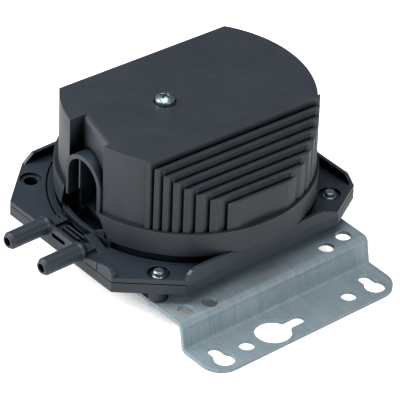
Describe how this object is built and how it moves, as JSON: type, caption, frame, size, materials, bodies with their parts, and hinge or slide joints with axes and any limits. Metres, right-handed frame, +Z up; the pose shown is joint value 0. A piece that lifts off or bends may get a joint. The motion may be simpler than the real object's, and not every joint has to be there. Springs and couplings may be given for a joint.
{
  "type": "differential pressure switch",
  "caption": "Round-cover air pressure switch with a dark ribbed plastic cover, twin hose nozzles and a stepped plated mounting bracket.",
  "frame": {"origin": "centre of the two round holes in the bracket foot, on the underside of the foot", "axes": "+Z up through the housing, -X along the hose nozzles, -Y towards the free edge of the foot"},
  "size_m": [0.1222, 0.1204, 0.0658],
  "materials": {
    "plated_sheet": "zinc plated sheet, lightly brushed",
    "plated_screw": "bright zinc plating",
    "dark_plastic_lower": "fine satin moulded plastic",
    "dark_plastic_upper": "fine satin moulded plastic",
    "dark_plastic_cover": "fine satin moulded plastic",
    "diaphragm_rubber": "smooth silicone rubber",
    "aluminium_plate": "pressed sheet",
    "natural_plastic": "natural moulded plastic",
    "spring_steel": "spring steel",
    "brass_seat": "turned",
    "steel_bridge": "bent sheet",
    "dial_plastic": "moulded",
    "switch_plastic": "moulded",
    "plunger_plastic": "moulded",
    "contact_metal": "spring copper alloy",
    "terminal_brass": "stamped"
  },
  "bodies": {
    "housing": {"mounting_bracket": "plated_sheet", "bracket_screws": "plated_screw", "lower_shell": "dark_plastic_lower", "shell_screws": "plated_screw", "upper_shell": "dark_plastic_upper", "diaphragm": "diaphragm_rubber", "range_spring": "spring_steel", "dial_bridge": "steel_bridge", "bridge_screws": "plated_screw", "switch_body": "switch_plastic", "switch_lid": "switch_plastic", "switch_screws": "plated_screw", "lever_pin": "plated_screw", "terminal_common": "terminal_brass", "terminal_closed": "terminal_brass", "terminal_open": "terminal_brass", "cover": "dark_plastic_cover", "cover_screw": "plated_screw"},
    "diaphragm_core": {"backing_plate": "aluminium_plate", "pressure_plate": "natural_plastic"},
    "dial": {"setpoint_dial": "dial_plastic", "dial_clip": "spring_steel"},
    "seat": {"spring_seat": "brass_seat"},
    "lever": {"switch_lever": "spring_steel"},
    "plunger": {"switch_plunger": "plunger_plastic"},
    "blade": {"contact_blade": "contact_metal"}
  },
  "joints": [
    {"name": "diaphragm_travel", "type": "slide", "parent": "housing", "child": "diaphragm_core", "axis": [0, 0, 1], "range_m": [0, 0.0008], "stiffness_N_per_m": 600, "springref_m": -0.002, "deforming": ["range_spring", "diaphragm"]},
    {"name": "lever_swing", "type": "hinge", "parent": "housing", "child": "lever", "pos_m": [0.0307, 0.0653, 0.0294], "axis": [0, 1, 0], "range_deg": [0, 2.2]},
    {"name": "plunger_slide", "type": "slide", "parent": "housing", "child": "plunger", "axis": [0, 0, 1], "range_m": [0, 0.0004]},
    {"name": "blade_swing", "type": "hinge", "parent": "housing", "child": "blade", "pos_m": [0.0158, 0.0653, 0.03405], "axis": [0, -1, 0], "range_deg": [0, 4]},
    {"name": "dial_turn", "type": "hinge", "parent": "housing", "child": "dial", "pos_m": [0.0012, 0.0653, 0.0462], "axis": [0, 0, 1], "range_deg": [0, 300]},
    {"name": "seat_slide", "type": "slide", "parent": "housing", "child": "seat", "axis": [0, 0, -1], "range_m": [0, 0.003], "deforming": ["range_spring"]}
  ],
  "couplings": [
    {"joint": "lever_swing", "follows": "diaphragm_travel", "rad_per_m": 42.2},
    {"joint": "plunger_slide", "follows": "diaphragm_travel", "ratio": 0.4},
    {"joint": "blade_swing", "follows": "diaphragm_travel", "rad_per_m": 74},
    {"joint": "dial_turn", "follows": "seat_slide", "rad_per_m": 1745}
  ]
}
